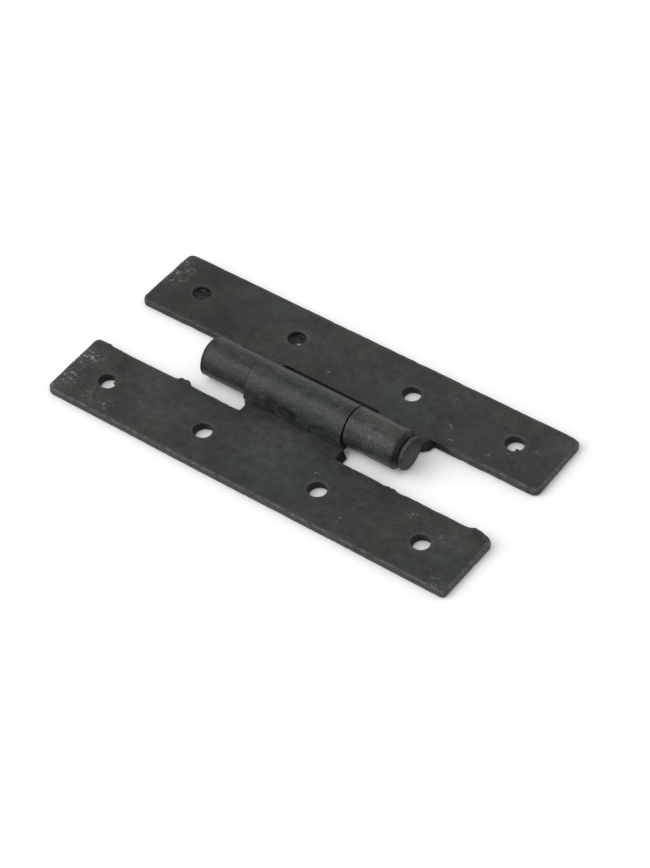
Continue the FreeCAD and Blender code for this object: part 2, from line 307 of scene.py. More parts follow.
def rounded_outline(corners):
    """Points round a polygon whose corners are given as (x, along, radius)."""
    arcs = []
    for index, (x, along, radius) in enumerate(corners):
        here = np.array((x, along))
        to_last = unit(np.array(corners[index - 1][:2]) - here)
        to_next = unit(np.array(corners[(index + 1) % len(corners)][:2]) - here)
        half = math.acos(to_last @ to_next) / 2
        centre = here + unit(to_last + to_next) * radius / math.sin(half)
        first = here + to_last * radius / math.tan(half) - centre
        last = here + to_next * radius / math.tan(half) - centre
        turn = math.pi - 2 * half
        steps = max(2, math.ceil(radius * turn / SPACING))
        share = np.linspace(0, 1, steps + 1)[:, None]
        swept = first * np.sin((1 - share) * turn) + last * np.sin(share * turn)
        arcs.append(centre + swept / math.sin(turn))
    points = []
    for arc, following in zip(arcs, arcs[1:] + arcs[:1]):
        points.extend(arc)
        start, end = arc[-1], following[0]
        steps = max(1, math.ceil(np.linalg.norm(end - start) / SPACING))
        points.extend(start + (end - start) * step / steps for step in range(1, steps))
    return np.array(points)


def inward(points):
    """The direction into the metal at each point of a loop that keeps the metal on its left."""
    ahead = np.roll(points, -1, axis=0) - np.roll(points, 1, axis=0)
    length = np.linalg.norm(ahead, axis=1, keepdims=True)
    return np.column_stack((-ahead[:, 1], ahead[:, 0])) / length


def smooth_round_loop(values, passes=3):
    """Evens out values along a closed loop."""
    for _ in range(passes):
        values = (np.roll(values, 1) + 2 * values + np.roll(values, -1)) / 4
    return values


def wobbled(points, seed, lumps):
    """An outline with the unevenness of hand work, and its single lumps."""
    flat = np.column_stack((points, np.zeros(len(points))))
    on_roll = fade(points[:, 1], -SHOULDER - 1, -SHOULDER)
    sway = EDGE_SWAY * rough(flat, size=9, octaves=2, seed=seed)
    sway += EDGE_NICKS * rough(flat, size=1.5, octaves=3, seed=seed + 1)
    push = np.maximum(sway, 0) * (1 - ROLL_EVENNESS * on_roll)
    for x, along, length, height in lumps:
        apart = np.hypot(points[:, 0] - x, points[:, 1] - along)
        push -= height * np.exp(-((2 * apart / length) ** 2))
    return points + inward(points) * push[:, None]


def hole_loop(x, along, seed, burrs):
    """The rim of a punched hole, slightly uneven, with burrs given as (angle, height)."""
    count = math.ceil(2 * math.pi * HOLE_RADIUS / HOLE_SPACING)
    angles = -np.linspace(0, 2 * math.pi, count, endpoint=False)
    ring = np.column_stack((np.cos(angles), np.sin(angles)))
    places = np.column_stack((ring, np.full(count, seed)))
    radius = HOLE_RADIUS + HOLE_UNEVENNESS * rough(places, size=0.8, octaves=2, seed=seed)
    for angle, height in burrs:
        towards = ring @ (math.cos(math.radians(angle)), math.sin(math.radians(angle)))
        radius -= height * fade(towards, BURR_COSINE, 1.0)
    return np.array((x, along)) + ring * radius[:, None]


def inside(points, loops):
    """Which points lie in the metal, by counting how many edges a level line to the right crosses."""
    crossings = np.zeros(len(points), int)
    for loop in loops:
        for (x0, y0), (x1, y1) in zip(loop, np.roll(loop, -1, axis=0)):
            spans = (points[:, 1] < y0) != (points[:, 1] < y1)
            share = (points[:, 1] - y0) / (y1 - y0 if y1 != y0 else 1)
            crossings += spans & (points[:, 0] < x0 + share * (x1 - x0))
    return crossings % 2 == 1


def nearest(points, targets):
    """Distance from each point to the nearest of the targets."""
    found = np.full(len(points), np.inf)
    for start in range(0, len(targets), BATCH):
        apart = points[:, None] - targets[None, start:start + BATCH]
        found = np.minimum(found, np.hypot(apart[..., 0], apart[..., 1]).min(axis=1))
    return found


def room_inward(loop, into, depth):
    """Lessens a depth into the metal where it would come nearer to another stretch of the loop."""
    whole = depth
    for _ in range(ROOM_ROUNDS):
        crowded = nearest(loop + into * depth[:, None], loop) < ROOM_SHARE * depth
        depth = np.where(crowded, ROOM_SHRINK * depth, depth)
    depth = np.where(depth < whole, ROOM_SHRINK * depth, depth)
    return np.minimum(depth, smooth_round_loop(depth))


def round_steps():
    """The angles of the rings over a rounded edge, from 0 to a quarter turn."""
    return [math.pi / 2 * step / ARC_STEPS for step in range(ARC_STEPS + 1)]


class Edge:
    """One loop of a blank's edge, with its roundings, its flare, its painted shade, and its wear with a
    painted sheen.
    """

    def __init__(self, loop, front, back, bevel, flare, shade_and_dark_patches, wear_and_sheen):
        self.loop = loop
        self.front = front
        self.back = back
        self.bevel = bevel
        self.flare = flare
        self.shade_and_dark_patches = shade_and_dark_patches
        self.wear_and_sheen = wear_and_sheen

    @classmethod
    def of_hole(cls, loop, side):
        """A hole, punched at a slant that is the same in both leaves."""
        plain = np.ones(len(loop))
        slant = np.outer(plain, (HOLE_SLANT[0], -side * HOLE_SLANT[1]))
        # The hole's wall gets painted shade.
        rounding, shade_and_dark_patches, nothing = HOLE_ROUND * plain, HOLE_SHADE * plain, 0 * plain
        return cls(loop, rounding, rounding, nothing, slant, shade_and_dark_patches, nothing)

    def rings(self):
        """Yields points, height, painted shade, and wear with painted sheen of each ring from the front
        over the edge to the back.

        The flare moves the edge outward, from nothing at the front to its whole at the back.
        """
        into = inward(self.loop)
        inset = room_inward(self.loop, into, np.maximum(self.front, self.back) + SPACING / 2)
        front = np.minimum(self.front, ROUNDING_SHARE * inset)
        back = np.minimum(self.back, ROUNDING_SHARE * inset)
        profile = [(inset, SHEET, 0.0, 0.0)]
        for turn in round_steps():
            wall = math.sin(turn) ** 2
            # The rounding gets a light line, partly worn metal and partly a painted highlight; the wall
            # gets a painted sheen.
            brightening = math.sin(2 * turn) + WALL_SHEEN * wall
            height = SHEET - front * (1 - math.cos(turn))
            profile.append((front * (1 - math.sin(turn)), height, wall, brightening))
        profile.append((np.zeros(len(inset)), (SHEET - front + back) / 2, 1.0, WALL_SHEEN))
        for turn in round_steps():
            share = turn / (math.pi / 2)
            depth = (1 - self.bevel) * (1 - math.cos(turn)) + self.bevel * share
            height = (1 - self.bevel) * (1 - math.sin(turn)) + self.bevel * (1 - share)
            wall = (1 - self.bevel) * math.cos(turn) ** 2 + self.bevel * (share < BEVEL_END)
            # The back's wall gets the painted sheen too.
            profile.append((back * depth, back * height, wall, WALL_SHEEN * wall))
        profile.append((inset, 0.0, 0.0, 0.0))
        # Painted shade lies most on the steep part of each wall.
        for depth, height, wall, brightening in profile:
            height = np.broadcast_to(height, len(inset))
            lean = fade(height, start=0.9 * SHEET, end=0.2 * SHEET)
            points = self.loop + into * depth[:, None] + self.flare * lean[:, None]
            yield points, height, wall * self.shade_and_dark_patches, brightening * self.wear_and_sheen


class Sheet:
    """A flat blank of sheet metal with rounded edges, as points (x, along, height) and faces."""

    def __init__(self, outline, holes):
        self.points = np.zeros((0, 3))
        self.shade_and_dark_patches = np.zeros(0)
        self.wear_and_sheen = np.zeros(0)
        self.faces = []
        front_rings, back_rings = zip(*(self.add_edge(edge) for edge in (outline, *holes)))
        self.add_faces(front_rings, back_rings)

    def add_points(self, flat, height, shade_and_dark_patches=0.0, wear_and_sheen=0.0):
        """Adds points and returns their numbers."""
        first, count = len(self.points), len(flat)
        placed = np.column_stack((flat, np.broadcast_to(height, count)))
        self.points = np.concatenate((self.points, placed))
        self.shade_and_dark_patches = np.concatenate((self.shade_and_dark_patches, np.broadcast_to(shade_and_dark_patches, count)))
        self.wear_and_sheen = np.concatenate((self.wear_and_sheen, np.broadcast_to(wear_and_sheen, count)))
        return np.arange(first, first + count)

    def add_edge(self, edge):
        """The wall of one edge. Returns the rings of points where the front and the back meet it."""
        rings = [self.add_points(*ring) for ring in edge.rings()]
        for upper, lower in zip(rings, rings[1:]):
            ahead = np.roll(upper, -1), np.roll(lower, -1)
            self.faces.extend(np.column_stack((upper, lower, ahead[1], ahead[0])).tolist())
        return rings[0], rings[-1]

    def add_faces(self, front_rings, back_rings):
        """Fills the front and the back between the face rings with even triangles."""
        loops = [self.points[ring, :2] for ring in front_rings]
        low, high = loops[0].min(axis=0), loops[0].max(axis=0)
        rows = np.arange(low[1], high[1], SPACING * math.sqrt(3) / 2)
        places = np.arange(low[0], high[0], SPACING)
        shifts = SPACING / 2 * (np.arange(len(rows)) % 2)
        grid = np.column_stack(((places + shifts[:, None]).ravel(), np.repeat(rows, len(places))))
        grid = grid[inside(grid, loops)]
        grid = grid[nearest(grid, np.concatenate(loops)) > CLEAR_OF_EDGE]
        borders = []
        first = 0
        for loop in loops:
            indices = np.arange(first, first + len(loop))
            borders.extend(zip(indices.tolist(), np.roll(indices, -1).tolist()))
            first += len(loop)
        flat = np.concatenate([*loops, grid])
        all_triangles = 0
        corners = [Vector(point) for point in flat]
        _, _, found, origins, _, _ = delaunay_2d_cdt(corners, borders, [], all_triangles, SAME_POINT)
        source = np.array([numbers[0] for numbers in origins])
        triangles = source[np.array(found)]
        triangles = triangles[inside(flat[triangles].mean(axis=1), loops)]
        front = np.concatenate([*front_rings, self.add_points(grid, SHEET)])
        back = np.concatenate([*back_rings, self.add_points(grid, 0.0)])
        self.faces.extend(front[triangles].tolist())
        self.faces.extend(back[triangles[:, ::-1]].tolist())


def dented(sheet, edge, ridge, seed):
    """Works hammer dents, thinned edges and a raised ridge into the faces of a sheet."""
    points = sheet.points.copy()
    flat = np.column_stack((points[:, :2], np.full(len(points), seed)))
    on_roll = fade(points[:, 1], -SHOULDER, 0)
    swell = 0.5 + 0.5 * rough(flat, SWELL_SIZE, octaves=2, seed=seed)
    dimple = 0.5 + 0.5 * rough(flat, DIMPLE_SIZE, octaves=3, seed=seed + 2)
    uneven = 0.6 + 0.6 * rough(flat, THINNING_SIZE, octaves=2, seed=seed + 4)
    thinned = np.exp(-edge / THINNING_REACH) * uneven * (1 - on_roll)
    front_loss = FRONT_SWELL * swell + FRONT_DIMPLE * dimple + FRONT_THINNING * thinned
    back_loss = (BACK_DENTS + ROLL_SWELL * on_roll) * swell
    back_loss += (BACK_DENTS + ROLL_DIMPLE * on_roll) * dimple
    share = points[:, 2] / SHEET
    points[:, 2] += (1 - share) * back_loss - share * front_loss + share * ridge
    return points


def rolled_up(points, side):
    """Bends a flat blank round the pin and lays it on its side of the hinge."""
    x, along, height = points.T
    radius = BARREL_RADIUS - height
    turn = np.clip(along / NEUTRAL_RADIUS, 0, FULL_TURN)
    drop = np.maximum(along - FULL_TURN * NEUTRAL_RADIUS, 0)
    bulge = SEAM_BULGE * fade(along, ROLL_END - BULGE_LENGTH, ROLL_END)
    y = np.minimum(along, 0) + radius * np.sin(turn) - bulge
    z = BARREL_RADIUS - radius * np.cos(turn) - drop
    return np.column_stack((x, -side * y, z))


def new_object(name, points, faces, body, slot, *nodes):
    """A smooth mesh object from points in millimetres, which rides on a body and replaces CAD nodes."""
    mesh = bpy.data.meshes.new(name)
    mesh.from_pydata((points * MM).tolist(), [], faces)
    mesh.validate()
    mesh.shade_smooth()
    piece = bpy.data.objects.new(name, mesh)
    bpy.context.scene.collection.objects.link(piece)
    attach(piece, body)
    if nodes:
        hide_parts(*nodes)
    return piece


def set_attribute(piece, name, values):
    """Stores one number for each point of a mesh, for the materials."""
    attribute = piece.data.attributes.new(name, "FLOAT", "POINT")
    attribute.data.foreach_set("value", np.asarray(values, np.float32))


def spots(flat, marks):
    """The strongest of some soft round marks at each point of a blank."""
    strength = np.zeros(len(flat))
    for x, along, size, peak in marks:
        apart = np.hypot(flat[:, 0] - x, flat[:, 1] - along)
        strength = np.maximum(strength, peak * np.exp(-((apart / size) ** 2)))
    return strength


def mount_holes(leaf):
    """The places (x, y) of a leaf's screw holes in millimetres, from the record's bolt patterns."""
    places = []
    for mount in frame["record"]["mounts"]:
        if mount["kind"] == "bolt_pattern" and mount["name"].startswith(leaf):
            x, y, _ = (value / MM for value in mount["pos_m"])
            half = mount["dims"]["spacing_x_mm"] / 2
            places += [(x - half, y), (x + half, y)]
    return sorted(places)


def tongue_corners(tongue, roll, left_foot=STRIP_INNER, right_foot=STRIP_INNER, stepped=False):
    """A tongue and its roll, from its foot on the right round to its foot on the left.

    Its sides slant to the roll, or run straight and then step to it.
    """
    right_side = [(roll[1], -SHOULDER, SHOULDER_ROUND)]
    left_side = [(roll[0], -SHOULDER, SHOULDER_ROUND)]
    if stepped:
        right_side = [(tongue[1], -STEP, SMALL_CORNER), (roll[1], -STEP, SMALL_CORNER)]
        left_side = [(roll[0], -STEP, SMALL_CORNER), (tongue[0], -STEP, SMALL_CORNER)]
    return [
        (tongue[1], -right_foot, INNER_CORNER),
        *right_side,
        (roll[1], ROLL_END, SMALL_CORNER),
        (roll[0], ROLL_END, SMALL_CORNER),
        *left_side,
        (tongue[0], -left_foot, INNER_CORNER),
    ]


def corner_flare(outline, foot, width):
    """How far the back of the sheet spreads beyond its front on the right of a tongue."""
    x, along = outline.T
    past_strip = fade(along, start=-STRIP_INNER - 0.6, end=-STRIP_INNER - 0.1)
    before_roll = fade(along, start=-FLARE_END, end=-FLARE_END - 0.4)
    in_notch = past_strip * before_roll
    from_foot = fade(x, start=foot - 0.8, end=foot - 0.3)
    within_reach = 1 - fade(x - foot, start=0.5, end=FLARE_REACH)
    share = width * in_notch * from_foot * within_reach
    return np.column_stack((share, np.zeros(len(share))))


def leaf_edge(outline, side, flare, seed, lumps):
    """The edge round a whole leaf: sharp, with painted shade at the slot, the notches, the splits and the
    barrel's right end, and worn round the strip, whose walls also get a painted sheen.
    """
    x, along = outline.T
    on_roll = along > -SHOULDER - TOUCH
    over_slot = (x > SLOT[0] - SLOT_MARGIN) & (x < SLOT[1] + SLOT_MARGIN)
    at_slot = (along > -SLOT_BOTTOM - TOUCH) & over_slot
    in_notch = ~on_roll & (along > -STRIP_INNER + NOTCH_MARGIN)
    at_left = on_roll & (x < BARREL[0] + TOUCH)
    at_right = on_roll & (x > BARREL[1] - TOUCH)
    past_crown = side * (math.pi - along / NEUTRAL_RADIUS)
    closed = on_roll & ~at_left & (x < 0) & (past_crown < CLOSED_SPLIT)
    front = np.select(
        [on_roll, at_slot, x > RIGHT_END],
        [SPLIT_ROUND, SLOT_ROUND, END_ROUND],
        FRONT_ROUND,
    )
    back = np.select(
        [at_left, at_right, closed, on_roll],
        [LEFT_END_ROUND, RIGHT_END_ROUND, CLOSED_SPLIT_ROUND, SPLIT_ROUND],
        BACK_ROUND,
    )
    by_tongue = ~on_roll & (along > -STRIP_INNER - TOUCH) & (np.abs(x - flare[0]) < FLARE_REACH)
    # Painted shade on the walls at the slot, in the notches, by the tongues' right sides, in the open
    # splits and at the barrel's right end.
    dark = at_slot | in_notch | by_tongue
    shade_and_dark_patches = np.select(
        [at_left | closed, at_right, on_roll, dark],
        [0.0, RIGHT_END_SHADE, SPLIT_SHADE, 1.0],
        0.0,
    )
    wear_and_sheen = np.where(on_roll | dark, 0.0, 1.0)
    return Edge(
        wobbled(outline, seed, lumps),
        smooth_round_loop(front),
        smooth_round_loop(back),
        smooth_round_loop(at_right.astype(float)),
        corner_flare(outline, *flare),
        smooth_round_loop(shade_and_dark_patches, SOFT_PASSES),
        smooth_round_loop(wear_and_sheen, SOFT_PASSES),
    )


def hump(value, middle, width):
    """A smooth hump that is 1 in the middle."""
    return np.exp(-(((value - middle) / width) ** 2))


def leaf(name, side, corners, flare, body, holes, lumps, marks, seed):
    """One leaf: its blank is cut, punched, hammered and rolled.

    Holes are (x, y) places, with how far each was punched off its mark, and its burrs.
    """
    edge = leaf_edge(rounded_outline(corners), side, flare, seed, lumps)
    rims = [
        hole_loop(x + nudge[0], -side * (y + nudge[1]), seed + index, burrs)
        for index, ((x, y), nudge, burrs) in enumerate(holes)
    ]
    sheet = Sheet(edge, [Edge.of_hole(rim, side) for rim in rims])
    flat = sheet.points[:, :2]
    from_edge = nearest(flat, edge.loop[edge.wear_and_sheen > 0.5])
    bead = spots(flat, marks["bead"])
    ridge = RIDGE_HEIGHT * hump(from_edge, RIDGE_INSET, RIDGE_WIDTH) * fade(bead, start=0.2, end=0.6)
    points = rolled_up(dented(sheet, from_edge, ridge, seed), side)
    faces = sheet.faces if side == NEAR else [face[::-1] for face in sheet.faces]
    piece = new_object(f"{name}_metal", points, faces, body, "waxed_steel", name)
    # Painted shade in a thin line along the ridge.
    groove_shade = GROOVE_SHADE * hump(from_edge, GROOVE_INSET, GROOVE_WIDTH)
    groove_shade *= fade(bead, start=0.2, end=0.7)
    # Darker patches, and painted shade on the barrel and under the right knuckle.
    dark_patches_and_shade = spots(flat, marks["dark_patches_and_shade"])
    set_attribute(piece, "shade_and_dark_patches", np.maximum.reduce([sheet.shade_and_dark_patches, groove_shade, dark_patches_and_shade]))
    on_front = sheet.points[:, 2] > 0.95 * SHEET
    brightening = FRONT_WEAR * on_front * fade(from_edge, start=0.8, end=0.2)
    set_attribute(piece, "wear_and_sheen", np.maximum(sheet.wear_and_sheen, brightening))
    from_holes = nearest(flat, np.concatenate(rims))
    set_attribute(piece, "halo", fade(from_holes, start=1.1, end=0.3))
    set_attribute(piece, "barrel", fade(flat[:, 1], start=-SHOULDER, end=1.0))
    for mark in PAINTED_MARKS:
        set_attribute(piece, mark, spots(flat, marks[mark]))
    return piece


near_leaf = leaf(
    "single_knuckle_leaf",
    NEAR,
    NEAR_STRIP
    + tongue_corners(CENTRE_TONGUE, CENTRE_KNUCKLE, right_foot=NEAR_RIGHT_FOOT, stepped=True),
    (CENTRE_TONGUE[1], NEAR_FLARE),
    "swinging_leaf",
    list(zip(mount_holes("single"), NEAR_NUDGES, NEAR_BURRS)),
    NEAR_LUMPS,
    {
        "scuff_and_glint": NEAR_SCUFFS,
        "brown": NEAR_BROWN,
        "blue": NEAR_BLUE,
        "bead": NEAR_BEAD,
        "dark_patches_and_shade": NEAR_DARK_PATCHES,
        "pale": NEAR_PALE,
    },
    seed=1.0,
)
far_leaf = leaf(
    "double_knuckle_leaf",
    FAR,
    FAR_STRIP
    + tongue_corners((SLOT[1], OUTER_TONGUE[1]), (OPENING[1], BARREL[1]), left_foot=SLOT_BOTTOM)
    + tongue_corners((OUTER_TONGUE[0], SLOT[0]), (BARREL[0], OPENING[0]), right_foot=SLOT_BOTTOM),
    (OUTER_TONGUE[1], FAR_FLARE),
    "fixed_leaf",
    list(zip(mount_holes("double"), FAR_NUDGES, FAR_BURRS)),
    FAR_LUMPS,
    {
        "scuff_and_glint": FAR_SCUFFS_AND_GLINTS,
        "brown": FAR_BROWN,
        "blue": FAR_BLUE,
        "bead": FAR_BEAD,
        "dark_patches_and_shade": FAR_DARK_PATCHES_AND_SHADE,
        "pale": FAR_PALE,
    },
    seed=5.0,
)


# The pin, of which only the hammered heads show: a low cap on the left and a disc on the right.
PIN_RADIUS = 2.5
HEAD_HEIGHT = 0.9
HEAD_GAP = 0.02
DISC_RADIUS = 3.8
DISC_HEIGHT = 1.65
DISC_DOME = 0.3
DISC_FACE = 0.95
DISC_RIM = [(0.7, 0.985), (0.58, 1.0), (0.45, 0.995), (0.25, 0.95), (0.0, 0.9)]
DISC_SHADE = 0.28
CAP_RADIUS = 4.52
CAP_FLAT = 3.1
CAP_FACE = 0.9
PIN_DENTS = 0.1
PIN_SIDES = 96


def turned(profile, sides):
    """A solid turned about the X axis from (x, radius) points, with both ends on the axis."""
    angles = np.linspace(0, 2 * math.pi, sides, endpoint=False)
    points = [(profile[0][0], 0.0, 0.0)]
    for x, radius in profile[1:-1]:
        points += [(x, radius * math.sin(angle), radius * math.cos(angle)) for angle in angles]
    points.append((profile[-1][0], 0.0, 0.0))
    rows = len(profile) - 2
    faces = []
    for side in range(sides):
        following = (side + 1) % sides
        faces.append([0, 1 + following, 1 + side])
        for row in range(rows - 1):
            here, there = 1 + row * sides, 1 + (row + 1) * sides
            faces.append([here + side, here + following, there + following, there + side])
        last = 1 + (rows - 1) * sides
        faces.append([last + side, last + following, len(points) - 1])
    return np.array(points), faces


def pin():
    """The pin with its two heads. The rim of the disc is given in shares of its height and radius."""
    left, right = BARREL[0] - HEAD_GAP, BARREL[1] + HEAD_GAP
    cap = [(HEAD_HEIGHT, CAP_FLAT * share) for share in np.linspace(0, CAP_FACE, 8)]
    cap += [
        (HEAD_HEIGHT * math.cos(turn), CAP_FLAT + (CAP_RADIUS - CAP_FLAT) * math.sin(turn))
        for turn in np.linspace(0, math.pi / 2, 9)
    ]
    disc = [
        (DISC_HEIGHT * math.sqrt(1 - DISC_DOME * share**2), DISC_RADIUS * share)
        for share in np.linspace(0, DISC_FACE, 16)
    ]
    disc += [(DISC_HEIGHT * height, DISC_RADIUS * radius) for height, radius in DISC_RIM]
    profile = [(left - height, radius) for height, radius in cap]
    profile += [(left, PIN_RADIUS), (right, PIN_RADIUS)]
    profile += [(right + height, radius) for height, radius in reversed(disc)]
    points, faces = turned(profile, PIN_SIDES)
    outside = np.maximum(points[:, 0] - right, left - points[:, 0])
    from_axis = np.hypot(points[:, 1], points[:, 2])
    dents = rough(points, size=2.2, octaves=3, seed=3.0) - 1
    beaten = PIN_DENTS * dents * fade(outside, start=0.1, end=0.6)
    points[:, 0] += np.sign(points[:, 0]) * beaten
    at_right = points[:, 0] > right
    placed = points + (0, 0, BARREL_RADIUS)
    piece = new_object("hinge_pin_metal", placed, faces, "fixed_leaf", "pin_steel", "hinge_pin")
    # Painted shade in the seam behind the disc and over the disc's face.
    behind_disc = fade(outside, start=0.45, end=0.3)
    set_attribute(piece, "shade_and_dark_patches", at_right * np.maximum(behind_disc, DISC_SHADE))
    # A painted highlight round the disc's rim.
    at_rim = fade(from_axis, start=0.93 * DISC_RADIUS, end=0.99 * DISC_RADIUS)
    set_attribute(piece, "wear_and_sheen", at_right * at_rim * fade(outside, start=0.4, end=0.5))
    return piece


pin_piece = pin()


# Old wax, which clogs two holes of the farther leaf, with its pale crumbs as (x, y, size, strength).
PLUG_TOP = 1.15
PLUG_DEPTH = 0.9
PLUG_OVERLAP = 0.08
PLUG_RADIUS = HOLE_RADIUS + PLUG_OVERLAP
PLUG_LUMPS = 0.3
PLUG_CLIMB = 0.15
PLUG_RINGS = 12
PLUG_SIDES = 48
CRUMBS = [[(-0.3, 0.4, 0.3, 0.1)], [(1.2, -0.9, 0.55, 1.0), (0.4, -1.3, 0.4, 0.7)]]


def plug(name, x, y, crumbs, seed):
    """A lumpy disc of wax inside a hole, which climbs a little at its rim."""
    rings, sides = PLUG_RINGS, PLUG_SIDES
    angles = np.linspace(0, 2 * math.pi, sides, endpoint=False)
    circle = np.column_stack((np.cos(angles), np.sin(angles)))
    radii = np.linspace(0, PLUG_RADIUS, rings + 1)[1:]
    flat = np.concatenate([np.zeros((1, 2))] + [radius * circle for radius in radii])
    places = np.column_stack((flat, np.full(len(flat), seed)))
    height = PLUG_TOP + PLUG_LUMPS * rough(places, size=1.1, octaves=3, seed=seed)
    height += PLUG_CLIMB * (np.hypot(*flat.T) / PLUG_RADIUS) ** 4
    top = np.column_stack((flat, height))
    bottom = np.column_stack((flat, np.full(len(flat), PLUG_TOP - PLUG_DEPTH)))
    faces = []
    for side in range(sides):
        following = (side + 1) % sides
        faces.append([0, 1 + side, 1 + following])
        for ring in range(rings - 1):
            here, there = 1 + ring * sides, 1 + (ring + 1) * sides
            faces.append([here + side, there + side, there + following, here + following])
    count = len(flat)
    rim = 1 + (rings - 1) * sides
    faces += [[count + index for index in reversed(face)] for face in faces]
    for side in range(sides):
        following = (side + 1) % sides
        faces.append([rim + side, count + rim + side, count + rim + following, rim + following])
    points = np.concatenate((top, bottom)) + (x, y, 0)
    piece = new_object(name, points, faces, "fixed_leaf", "waxed_steel")
    set_attribute(piece, "crumb", np.tile(spots(flat, crumbs), 2))
    return piece


plugs = [
    plug(f"wax_plug_{index + 1}", x + nudge[0], y + nudge[1], crumbs, seed=3.0 + index)
    for index, ((x, y), nudge, crumbs) in enumerate(zip(mount_holes("double"), FAR_NUDGES, CRUMBS))
]


# Materials: colours, and how strongly each kind of mark shows.
OLIVE_STEEL = (0.0285, 0.0305, 0.0255, 1)
BLUE_STEEL = (0.0235, 0.0315, 0.0285, 1)
BROWN_STEEL = (0.030, 0.0255, 0.0205, 1)
RUST = (0.048, 0.034, 0.025, 1)
# Light grey for worn metal, and for painted sheen and highlights.
WORN_AND_SHEEN = (0.105, 0.107, 0.099, 1)
# Pale grey for scuffs, flecks and painted glints.
SCUFF_AND_GLINT = (0.27, 0.268, 0.25, 1)
# Near black, for painted shade, darker patches and gouges.
NEAR_BLACK = (0.0025, 0.0025, 0.0022, 1)
DARK_WAX = (0.004, 0.0045, 0.004, 1)
PALE_WAX = (0.018, 0.018, 0.016, 1)
WAX_CRUMB = (0.4, 0.4, 0.37, 1)
CLOUD_SHARE = 0.5
PATCH_TONE = 1.2
MOTTLE_TONE = 1.2
GRAIN_TONE = 1.1
TONE_SHIFT = -0.85
HALO_SHARE = 0.3
STREAK_SHARE = 0.28
SPECKLE_SHARE = 0.34
GOUGE_SHARE = 0.65
SCRATCH_SHARE = 0.8
FLECK_SHARE = 0.4
STEEL_ROUGHNESS = 0.42
ROUGHNESS_SPREAD = 0.12
BARREL_POLISH = -0.14
DENT_DEPTH = 0.03
GRAIN_DEPTH = 0.012
WAX_ROUGHNESS = 0.35
WAX_ROUGHNESS_SPREAD = 0.3
WAX_DEPTH = 0.12
SPECULAR = 0.25

# A mix node's sockets for colours, by number: the share, the two colours and the result.
MIX_SHARE, MIX_FIRST, MIX_SECOND, MIX_RESULT = 0, 6, 7, 2


class Graph:
    """The node tree of a material, with short calls for the nodes used here."""

    def __init__(self, name):
        self.material = bpy.data.materials.new(name)
        self.material.use_nodes = True
        self.nodes = self.material.node_tree.nodes
        self.links = self.material.node_tree.links
        self.nodes.clear()
        self.place = self.nodes.new("ShaderNodeTexCoord").outputs["Object"]

    def put(self, value, socket):
        """Links a socket, or sets a plain value."""
        if isinstance(value, bpy.types.NodeSocket):
            self.links.new(value, socket)
        else:
            socket.default_value = value

    def noise(self, size, detail=3.0, stretch=(1, 1, 1), seed=0.0, twist=0.0):
        """Cloudy noise from about 0 to 1, with features of the given size in millimetres."""
        mapping = self.nodes.new("ShaderNodeMapping")
        self.links.new(self.place, mapping.inputs["Vector"])
        mapping.inputs["Scale"].default_value = [factor / (size * MM) for factor in stretch]
        mapping.inputs["Location"].default_value = (seed, 2 * seed, 3 * seed)
        texture = self.nodes.new("ShaderNodeTexNoise")
        self.links.new(mapping.outputs["Vector"], texture.inputs["Vector"])
        texture.inputs["Scale"].default_value = 1.0
        texture.inputs["Detail"].default_value = detail
        texture.inputs["Distortion"].default_value = twist
        return texture.outputs["Fac"]

    def attribute(self, name):
        """A number that the mesh stores at its points."""
        node = self.nodes.new("ShaderNodeAttribute")
        node.attribute_name = name
        return node.outputs["Fac"]

    def fade(self, value, start, end):
        """Goes smoothly from 0 at start to 1 at end."""
        node = self.nodes.new("ShaderNodeMapRange")
        node.interpolation_type = "SMOOTHSTEP"
        self.put(value, node.inputs["Value"])
        node.inputs["From Min"].default_value = start
        node.inputs["From Max"].default_value = end
        return node.outputs["Result"]

    def mark(self, name, texture, start, end):
        """A number that the mesh stores, broken up by a texture."""
        return self.times(self.attribute(name), self.fade(texture, start, end))

    def math(self, operation, first, second):
        node = self.nodes.new("ShaderNodeMath")
        node.operation = operation
        self.put(first, node.inputs[0])
        self.put(second, node.inputs[1])
        return node.outputs["Value"]

    def times(self, first, second):
        return self.math("MULTIPLY", first, second)

    def plus(self, first, second):
        return self.math("ADD", first, second)

    def mix(self, share, first, second):
        """One colour over another, by the given share."""
        node = self.nodes.new("ShaderNodeMix")
        node.data_type = "RGBA"
        self.put(share, node.inputs[MIX_SHARE])
        self.put(first, node.inputs[MIX_FIRST])
        self.put(second, node.inputs[MIX_SECOND])
        return node.outputs[MIX_RESULT]

    def brighten(self, color, factor):
        """A colour made lighter or darker by a factor."""
        node = self.nodes.new("ShaderNodeHueSaturation")
        self.put(factor, node.inputs["Value"])
        self.put(color, node.inputs["Color"])
        return node.outputs["Color"]

    def bump(self, height, depth, normal=None):
        """Raises the surface by a height of 0 to 1 times a depth in millimetres."""
        node = self.nodes.new("ShaderNodeBump")
        node.inputs["Distance"].default_value = depth * MM
        self.put(height, node.inputs["Height"])
        if normal is not None:
            self.links.new(normal, node.inputs["Normal"])
        return node.outputs["Normal"]

    def surface(self, color, roughness, normal):
        """Ends the tree with a plain shiny surface and returns the material."""
        shader = self.nodes.new("ShaderNodeBsdfPrincipled")
        self.put(color, shader.inputs["Base Color"])
        self.put(roughness, shader.inputs["Roughness"])
        self.links.new(normal, shader.inputs["Normal"])
        shader.inputs["Specular IOR Level"].default_value = SPECULAR
        output = self.nodes.new("ShaderNodeOutputMaterial")
        self.links.new(shader.outputs["BSDF"], output.inputs["Surface"])
        return self.material


